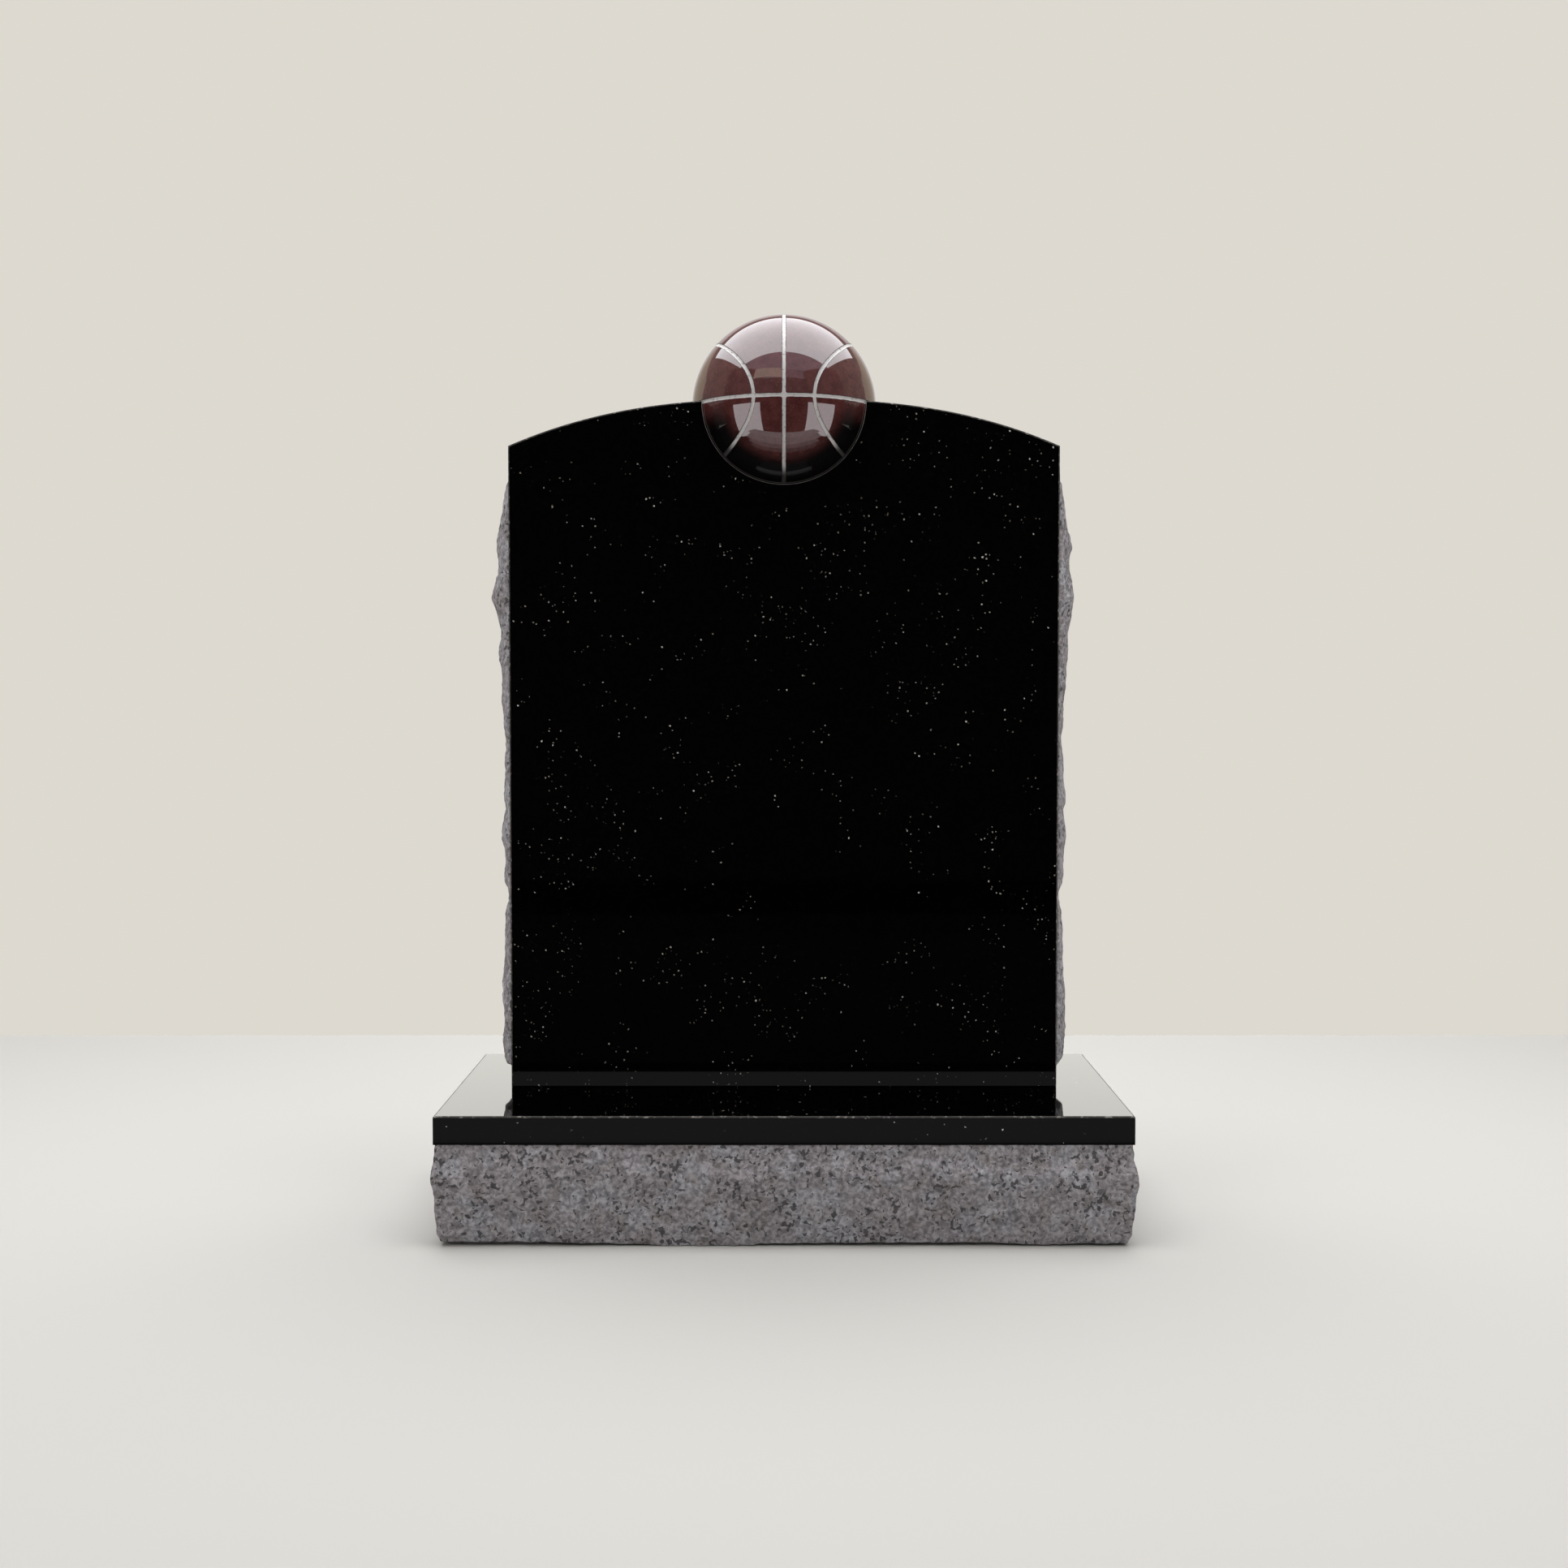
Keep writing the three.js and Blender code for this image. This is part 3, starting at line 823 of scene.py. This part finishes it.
@dataclass(frozen=True)
class Tablet:
    """The upright slab: polished front, back and arched top, rock-pitched sides and a round socket."""

    width: float = 0.5075
    shoulder: float = 0.594
    rise: float = 0.043
    power: float = 2.56
    arris: float = 0.0012
    head_strip: float = 0.032
    foot_strip: float = 0.020
    side_reach: float = 0.0096
    roundness: float = 0.55
    roughness: float = 0.0015
    head_run: float = 0.036
    foot_run: float = 0.004
    clearance: float = 0.0004
    rim_arris: float = 0.001
    rim_strips: tuple = (1, 2)
    rows: int = 270
    columns: int = 34
    arch_steps: int = 60
    socket_steps: int = 180
    arris_steps: int = 4
    ease_rate: float = 5.0
    bisections: int = 40
    lumps: tuple = (
        (0.03, 0.0024, 0.03),
        (0.12, 0.002, 0.05),
        (0.29, -0.006, 0.019),
        (0.394, 0.004, 0.024),
        (0.555, -0.003, 0.02),
        (0.7, 0.0034, 0.05),
        (0.805, 0.010, 0.05),
        (0.895, 0.006, 0.03),
    )

    @property
    def corner(self) -> Vector:
        """The lowest corner of the tablet's solid, whose y is the front face and whose z is the foot."""
        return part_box("tablet")[0]

    @property
    def thickness(self) -> float:
        """The tablet's thickness, from the frame."""
        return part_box("tablet")[1].y - self.corner.y

    def side_heights(self) -> np.ndarray:
        """Gives the heights of the outline's points up one side."""
        rough = np.linspace(self.foot_strip, self.shoulder - self.head_strip, self.rows + 1)
        return np.concatenate([[0.0], rough, [self.shoulder]])

    def reach(self, side: int, heights: np.ndarray, across: float) -> np.ndarray:
        """Gives how far a rough side stands out.

        Args:
            side: -1 for the left side and 1 for the right.
            heights: heights above the tablet's foot.
            across: the share of the way from the front edge to the back edge.

        Returns:
            The reach at each height.
        """
        length = self.shoulder - self.head_strip - self.foot_strip
        above = heights - self.foot_strip
        below = length - above
        reach = np.full(heights.shape, self.side_reach)
        for at, rise, spread in self.lumps:
            reach += rise * np.exp(-(((above / length - at) / spread) ** 2))
        reach *= smooth_share((above + self.foot_run) / (2 * self.foot_run))
        reach *= smooth_share((below + self.head_run) / (2 * self.head_run))
        places = points_at(side * self.width / 2, across * self.thickness, heights)
        rough = reach + self.roughness * BrokenStone().relief(places)
        rough *= max(math.sin(math.pi * across), 0.0) ** self.roundness
        return np.where((above > 0) & (below > 0), rough, 0.0)

    def arch(self, x: np.ndarray, inset: float) -> np.ndarray:
        """Gives the height of the arched top above the foot at a distance from the middle."""
        half = self.width / 2 - inset
        fall = self.rise * (np.abs(x) / half) ** self.power
        return self.shoulder + self.rise - fall - inset

    def socket_radius(self, depth: float) -> float:
        """Gives the socket's radius at a depth behind the front face, flared by the arris at both faces."""
        sphere = BallSizes().radius + self.clearance
        near_face = min(depth, self.thickness - depth)
        flare = max(self.rim_arris - near_face, 0.0)
        return math.sqrt(sphere**2 - (depth - self.thickness / 2) ** 2) + flare

    def outline(self, depth: float, inset: float, across: float) -> np.ndarray:
        """Gives the outline at one depth, clockwise as seen from the front.

        Args:
            depth: distance behind the front face.
            inset: how far the outline is drawn in for the arris.
            across: the share of the way through the rough side.

        Returns:
            The outline's points, in the row frame.
        """
        heights = self.side_heights()
        level = np.minimum(heights, self.shoulder - inset)
        half = self.width / 2 - inset
        left = np.stack([-half - self.reach(-1, heights, across), level], axis=1)
        right = np.stack([half + self.reach(1, heights, across), level], axis=1)[::-1]
        radius = self.socket_radius(depth)
        centre = BallSizes().centre.z - self.corner.z
        low, high = 0.0, math.pi / 2
        for _ in range(self.bisections):
            middle = (low + high) / 2
            meets = centre + radius * math.sin(middle) > self.arch(np.array(radius * math.cos(middle)), inset)
            low, high = (low, middle) if meets else (middle, high)
        mouth = radius * math.cos(low)
        run = np.linspace(half, mouth, self.arch_steps, endpoint=False)[1:]
        rising = np.stack([-run, self.arch(run, inset)], axis=1)
        falling = (rising * (-1, 1))[::-1]
        turn = np.linspace(math.pi - low, 2 * math.pi + low, self.socket_steps + 1)
        bowl = np.stack([radius * np.cos(turn), centre + radius * np.sin(turn)], axis=1)
        x, z = np.concatenate([left, rising, bowl, falling, right]).T
        return points_at(x, self.corner.y + depth, self.corner.z + z)

    def build(self) -> Piece:
        """Builds the slab, dresses it and puts it in the place of its solid."""
        turns = np.linspace(0, math.pi / 2, self.arris_steps + 1)
        rounding = [(self.arris * (1 - math.cos(turn)), self.arris * (1 - math.sin(turn))) for turn in turns]
        cuts = [(depth, inset, 0.0) for depth, inset in rounding[:-1]]
        for column in range(self.columns + 1):
            across = (1 - math.cos(math.pi * column / self.columns)) / 2
            cuts.append((self.arris + (self.thickness - 2 * self.arris) * across, 0.0, across))
        cuts += [(self.thickness - depth, inset, 1.0) for inset, depth in rounding[1:]]
        stack = np.array([self.outline(*cut) for cut in cuts])
        count = stack.shape[1]
        broken = np.zeros(count, bool)
        broken[1 : self.rows + 2] = True
        broken[count - self.rows - 2 : count - 1] = True
        across = np.array(cuts)[:, 2]
        inner = (across > 0) & (across < 1)
        share = np.outer(inner, broken).astype(float)
        share *= np.minimum(1.0, self.ease_rate * np.sin(np.pi * across))[:, None]
        between = (across[:-1] < 1) & (across[1:] > 0)
        pitched = np.outer(between, broken & np.roll(broken, -1))
        finish = np.where(pitched, Finish.PITCHED.value, Finish.POLISHED.value)
        start = len(self.side_heights()) + self.arch_steps - 1
        bowl = slice(start, start + self.socket_steps)
        for arris in (slice(None, self.arris_steps), slice(-self.arris_steps, None)):
            finish[arris, :-1] = Finish.HONED.value
            finish[arris, bowl] = Finish.POLISHED.value
        # The ground rim strips round the socket take the pale painted highlight.
        for strip in self.rim_strips:
            finish[strip, bowl] = Finish.GROUND_RIM.value
            finish[-1 - strip, bowl] = Finish.GROUND_RIM.value
        piece = mesh_through_rings("tablet_stone", stack, finish, (Finish.POLISHED, Finish.POLISHED), share)
        ReliefRule().apply(piece)
        smooth_with_sharp_arrises(piece)
        return place(piece, "tablet", "black_granite")


@dataclass(frozen=True)
class BallSizes:
    """The ball's own sizes, and its place from the frame."""

    radius: float = 0.0865
    seam_width: float = 0.0038
    seam_floor: float = 0.0022
    paint_width: float = 0.0031
    seam_depth: float = 0.0008
    seam_waist: float = 0.32
    seam_bow: float = 0.96

    @property
    def centre(self) -> Vector:
        """The ball's centre."""
        low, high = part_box("ball")
        return (low + high) / 2


@dataclass(frozen=True)
class Ball:
    """The red granite ball with its painted seams."""

    sizes: BallSizes = BallSizes()
    fineness: int = 7
    chip: float = 0.00022
    chip_length: float = 0.0024
    chip_seed: int = 21
    least_slope: float = 0.2

    def seam_distance(self, unit: np.ndarray) -> np.ndarray:
        """Gives the distance of each direction from the nearest seam's middle line, along the ball.

        Args:
            unit: outward directions of length one.

        Returns:
            The distances in metres.
        """
        x, z = unit[:, 0], unit[:, 2]
        upright = np.arcsin(np.clip(np.abs(x), 0, 1))
        level = np.arcsin(np.clip(np.abs(z), 0, 1))
        bow = np.abs(x) - self.sizes.seam_waist - self.sizes.seam_bow * z**2
        slope = np.stack([np.sign(x), np.zeros_like(x), -2 * self.sizes.seam_bow * z], axis=1)
        slope -= (slope * unit).sum(axis=1)[:, None] * unit
        bowed = np.abs(bow) / np.maximum(np.linalg.norm(slope, axis=1), self.least_slope)
        nearest = np.minimum(np.minimum(upright, level), bowed) * self.sizes.radius
        worn = BrokenStone().lumps(unit * self.sizes.radius / self.chip_length, self.chip_seed)
        return nearest + self.chip * worn

    @staticmethod
    def cut_along(mesh: bmesh.types.BMesh, layer: bmesh.types.BMLayerItem, level: float) -> None:
        """Splits faces along the line where a value that the points hold passes a level.

        Args:
            mesh: the triangles to cut.
            layer: the layer that holds the value at each point.
            level: the value to cut at.
        """
        crossed = [e for e in mesh.edges if (e.verts[0][layer] - level) * (e.verts[1][layer] - level) < 0]
        added = set()
        for edge in crossed:
            first, second = edge.verts
            share = (level - first[layer]) / (second[layer] - first[layer])
            _, point = bmesh.utils.edge_split(edge, first, share)
            point[layer] = level
            added.add(point)
        faces = {face for point in added for face in point.link_faces}
        for face in faces:
            ends = [point for point in face.verts if point in added]
            if len(ends) == 2:
                bmesh.utils.face_split(face, ends[0], ends[1])

    def build(self) -> Piece:
        """Builds the ball, cuts its seams, dresses it and puts it in the place of its solid."""
        sizes = self.sizes
        mesh = bmesh.new()
        bmesh.ops.create_icosphere(mesh, subdivisions=self.fineness, radius=1.0)
        layer = mesh.verts.layers.float.new("seam_distance")
        unit = np.array([v.co for v in mesh.verts])
        unit /= np.linalg.norm(unit, axis=1)[:, None]
        for vertex, distance in zip(mesh.verts, self.seam_distance(unit)):
            vertex[layer] = distance
        lip = sizes.seam_width / 2
        floor = sizes.seam_floor / 2
        painted = sizes.paint_width / 2
        for level in (lip, painted, floor):
            self.cut_along(mesh, layer, level)
        bmesh.ops.triangulate(mesh, faces=[f for f in mesh.faces if len(f.verts) > 3])
        for face in mesh.faces:
            face.smooth = True
            middle = sum(vertex[layer] for vertex in face.verts) / 3
            # Faces between the paint and the lip take the painted shade of the groove walls; those within the
            # paint take the paint.
            face.material_index = int(middle < lip) + int(middle < painted)
        centre = sizes.centre
        for vertex in mesh.verts:
            depth = sizes.seam_depth * float(np.clip((lip - vertex[layer]) / (lip - floor), 0, 1))
            vertex.co = centre + vertex.co.normalized() * (sizes.radius - depth)
        for edge in mesh.edges:
            kinds = {face.material_index for face in edge.link_faces}
            edge.smooth = len(kinds) == 1
        data = bpy.data.meshes.new("ball_stone")
        mesh.to_mesh(data)
        mesh.free()
        for finish in (PolishedRedGranite(), SEAM_WALL_PAINTED_SHADE, SeamPaint()):
            data.materials.append(finish.material())
        return place(add_object("ball_stone", data), "ball", "red_granite")


def place(piece: Piece, node: str, slot: str) -> Piece:
    """Lets a finished piece ride on the headstone in place of its solid.

    Args:
        piece: the finished object.
        node: the solid that it stands for.
        slot: not used.

    Returns:
        The same object.
    """
    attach(piece, "root")
    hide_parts(node)
    LOG.info("%s: %d points, %d faces", piece.name, len(piece.data.vertices), len(piece.data.polygons))
    return piece


# Studio


@dataclass(frozen=True)
class PhotoCamera:
    """The camera at the photograph's place, for a square picture of image_pixels each way."""

    image_pixels: int = 1932
    focal_pixels: float = 2434.0
    pitch_down: float = 2.411
    place: tuple = (0.0, -1.8517, 0.4751)
    sensor: float = 36.0
    clip_start: float = 0.05

    def build(self) -> None:
        """Adds the camera and makes it the scene's."""
        data = bpy.data.cameras.new("photo_camera")
        data.sensor_width = self.sensor
        data.lens = self.sensor * self.focal_pixels / self.image_pixels
        data.clip_start = self.clip_start
        camera = add_object("photo_camera", data)
        camera.location = self.place
        camera.rotation_euler = (math.radians(90 - self.pitch_down), 0, 0)
        bpy.context.scene.camera = camera


@dataclass(frozen=True)
class Softbox:
    """A square-edged soft light that the camera doesn't see, on all that is there or on the pieces named."""

    name: str
    place: tuple
    aim: tuple
    size: tuple
    radiance: float
    colour: tuple = WHITE
    shines_on: tuple = ()
    in_gloss: bool = False
    in_diffuse: bool = True

    def build(self) -> None:
        """Adds the light, with the power that gives its face the radiance."""
        data = bpy.data.lights.new(self.name, "AREA")
        data.shape = "RECTANGLE"
        data.size, data.size_y = self.size
        data.energy = self.radiance * math.pi * self.size[0] * self.size[1]
        data.color = self.colour
        light = add_object(self.name, data)
        light.location = self.place
        way = Vector(self.aim) - Vector(self.place)
        light.rotation_euler = way.to_track_quat("-Z", "Y").to_euler()
        hide_from(light, "camera")
        light.visible_glossy = self.in_gloss
        light.visible_diffuse = self.in_diffuse
        shine_on(light, self.shines_on)


@dataclass(frozen=True)
class Card:
    """A flat card that shows only in polished faces: pale to draw a highlight, black to keep one off.

    It is level if both its corners are at one height, and else upright.
    """

    name: str
    first: tuple
    second: tuple
    radiance: float
    colour: tuple = WHITE
    seen_by: tuple = ()

    @property
    def corners(self) -> list[tuple]:
        """The card's four corners."""
        (left, near, low), (right, far, high) = self.first, self.second
        if low == high:
            return [(left, near, low), (right, near, low), (right, far, low), (left, far, low)]
        return [(left, near, low), (right, far, low), (right, far, high), (left, near, high)]

    def build(self) -> None:
        """Adds the card as part of the stage."""
        mesh = bpy.data.meshes.new(self.name)
        mesh.from_pydata(self.corners, [], [[0, 1, 2, 3]])
        card = add_object(self.name, mesh)
        mesh.materials.append(glow(self.name, self.radiance, self.colour))
        hide_from(card, "camera", "diffuse", "shadow", "transmission")
        shine_on(card, self.seen_by)


def hide_from(piece: Piece, *rays: str) -> None:
    """Hides an object from the kinds of rays named."""
    for ray in rays:
        setattr(piece, f"visible_{ray}", False)


def shine_on(source: Piece, pieces: tuple) -> None:
    """Lets a light or a card shine on the pieces named alone.

    Args:
        source: the light or the card.
        pieces: the names of the pieces, or none to shine on all.
    """
    if not pieces:
        return
    lit = bpy.data.collections.new(f"{source.name}_shines_on")
    for name in pieces:
        lit.objects.link(bpy.data.objects[name])
    source.light_linking.receiver_collection = lit


def plain_material(name: str, kind: str, **inputs: object) -> bpy.types.Material:
    """Gives a material of one shader.

    Args:
        name: the material's name.
        kind: the shader node's type.
        inputs: its values by the input's name.

    Returns:
        The material.
    """
    material = bpy.data.materials.new(name)
    material.use_nodes = True
    sheet = NodeSheet(material.node_tree)
    sheet.node("ShaderNodeOutputMaterial", {"Surface": sheet.node(kind, inputs).outputs[0]})
    return material


def glow(name: str, radiance: float, colour: tuple) -> bpy.types.Material:
    """Gives a material that only shines, evenly."""
    return plain_material(name, "ShaderNodeEmission", Color=(*colour, 1.0), Strength=radiance)


@dataclass(frozen=True)
class Studio:
    """The pale table, the backdrop's glow, the soft lights and the reflection cards."""

    table_half: float = 4.0
    table_front: float = -4.0
    table_back: float = 0.94
    table_tone: tuple = grey(0.57, 1.0, 0.985, 0.955)
    drop_half: float = 9.0
    drop_segments: int = 96
    sky_tone: tuple = (0.723, 0.694, 0.631, 1.0)
    sky_strength: float = 0.36

    def floor(self) -> None:
        """Adds the plain pale table that the headstone stands on."""
        mesh = bpy.data.meshes.new("floor")
        near = [(-self.table_half, self.table_front, 0), (self.table_half, self.table_front, 0)]
        far = [(self.table_half, self.table_back, 0), (-self.table_half, self.table_back, 0)]
        mesh.from_pydata([*near, *far], [], [[0, 1, 2, 3]])
        floor = add_object("floor", mesh)
        mesh.materials.append(plain_material("pale_floor", "ShaderNodeBsdfDiffuse", Color=self.table_tone))

    def backdrop(self) -> None:
        """Adds the even pale backdrop far behind and round the stage, seen by the camera alone."""
        mesh = bpy.data.meshes.new("backdrop")
        form = bmesh.new()
        half = self.drop_half
        bmesh.ops.create_cone(form, segments=self.drop_segments, radius1=half, radius2=half, depth=2 * half,
                               cap_ends=True)
        form.to_mesh(mesh)
        form.free()
        drop = add_object("backdrop", mesh)
        mesh.materials.append(glow("backdrop", 1.0, self.sky_tone[:3]))
        hide_from(drop, "diffuse", "glossy", "shadow")

    def world(self) -> None:
        """Sets the even fill that comes from all round."""
        world = bpy.data.worlds.new("fill")
        world.use_nodes = True
        sheet = NodeSheet(world.node_tree)
        fill = sheet.node("ShaderNodeBackground", {"Color": self.sky_tone, "Strength": self.sky_strength})
        sheet.node("ShaderNodeOutputWorld", {"Surface": fill.outputs[0]})
        bpy.context.scene.world = world

    def lights(self) -> None:
        """Adds the soft lights, the dark that the polished front mirrors and the pale cards for the ball."""
        ball, base, tablet = ("ball_stone",), ("base_stone",), ("tablet_stone",)
        slabs = (*base, *tablet)
        lilac, lime = (1.0, 0.955, 0.985), (1.0, 0.93, 0.72)
        cool, violet = (0.94, 0.97, 1.0), (0.97, 0.86, 1.0)
        cream, straw = (1.0, 0.975, 0.92), (1.0, 0.985, 0.92)
        tan, rose, pearl = (1.0, 0.84, 0.72), (1.0, 0.95, 0.97), (1.0, 0.97, 0.95)
        low, bowl = MILLIMETRE, 0.25
        pieces = [Softbox("overhead", (0, 0.39, 2.62), (0, 0.39, 0), (2.6, 2.42), 5.2)]
        for name, way in (("left", -1), ("right", 1)):
            pieces.append(Softbox(f"front_{name}", (2.1 * way, -2.2, 1.9), (0, 0, 0.35), (1.6, 1.6), 1.5))
        for name, way in (("left", -1), ("right", 1)):
            at, aim = (2.15 * way, 0.2, 0.75), (0.3 * way, 0, 0.4)
            pieces.append(Softbox(f"flank_{name}", at, aim, (1.2, 1.2), 2.0, cream, (*slabs, *ball)))
        pieces += [
            Softbox("sheen", (0, 0.39, 2.5), (0, 0.39, 0), (2.6, 2.42), 0.6, WHITE, slabs, True, False),
            Card("dome", (-2.15, -0.92, 2.6), (2.15, 1.9, 2.6), 3.6, cool, ball),
            Card("ceiling", (-2.15, -3.0, 2.6), (2.15, -0.93, 2.6), 0.66, violet, ball),
            Card("ceiling_drop", (-1.1, -2.19, 2.0), (1.1, -2.19, 2.6), 0.45, violet, ball),
            Card("tan", (-2.2, -1.55, 1.95), (-0.12, -2.12, 2.6), 1.25, tan, ball),
            Card("floor_dark", (-2.6, -2.2, low), (2.6, -0.55, low), 0.012),
            Card("floor_dim", (-0.62, -0.69, 2 * low), (0.62, -0.55, 2 * low), 0.19, rose, base),
            Card("floor_near", (-2.6, -0.55, low), (2.6, -0.17, low), 0.012),
            Card("floor_left", (-2.6, -0.17, low), (-0.33, 0.5, low), 0.012),
            Card("floor_right", (0.33, -0.17, low), (2.6, 0.5, low), 0.012),
            Softbox("far", (0, 2.9, 0.55), (0, 0, 0.55), (5.0, 0.9), 1.7, straw, base, True, False),
            Card("behind", (-1.5, 3.0, 0.2), (1.5, 3.0, 2.85), 0.85, pearl, ball),
            Card("behind_left", (-4.7, 3.0, 0.2), (-1.5, 3.0, 2.85), 0.68, lime, ball),
            Card("behind_right", (1.5, 3.0, 0.2), (4.7, 3.0, 2.85), 0.68, lime, ball),
            Card("side_left", (-2.6, -0.5, 0.0), (-4.7, 3.0, 0.95), 0.05),
            Card("side_right", (4.7, 3.0, 0.0), (2.6, -0.5, 0.95), 0.05),
            Card("low_left", (-0.85, -0.42, 0.13), (-0.44, -0.80, 0.75), 2.4, lilac, ball),
            Card("low_right", (0.44, -0.80, 0.13), (0.85, -0.42, 0.75), 2.4, lilac, ball),
            Card("bowl_far", (-0.66, -0.68, bowl), (0.66, -0.54, bowl), 0.72, lilac, ball),
            Card("bowl_middle", (-0.60, -0.54, bowl), (0.60, -0.41, bowl), 0.60, lilac, ball),
            Card("bowl_near", (-0.50, -0.41, bowl), (0.50, -0.34, bowl), 0.36, lilac, ball),
            Card("bowl_edge", (-0.42, -0.34, bowl), (0.42, -0.28, bowl), 0.16, lilac, ball),
            Softbox("foot", (0, -0.062, 0.1165), (0, -0.062, 1), (0.6, 0.07), 0.17, lilac, tablet, True,
                    False),
        ]
        ends = (-2.6, -0.5), (-1.1, -2.2), (1.1, -2.2), (2.6, -0.5)
        for name, start, end in zip(("left", "front", "right"), ends, ends[1:]):
            pieces.append(Card(f"{name}_dark", (*start, 0), (*end, 1.15), 0.008))
            pieces.append(Card(f"{name}_upper", (*start, 1.15), (*end, 2.6), 0.12))
        for piece in pieces:
            piece.build()

    def build(self) -> None:
        """Builds the whole stage."""
        self.floor()
        self.backdrop()
        self.world()
        self.lights()
        scene = bpy.context.scene
        scene.view_settings.view_transform = "Standard"
        scene.cycles.use_denoising = True


def main() -> None:
    logging.basicConfig(level=logging.INFO, format="%(name)s: %(message)s")
    PhotoCamera().build()
    for stone in (Base(), Tablet(), Ball()):
        stone.build()
    Studio().build()


if __name__ == "__main__":
    main()
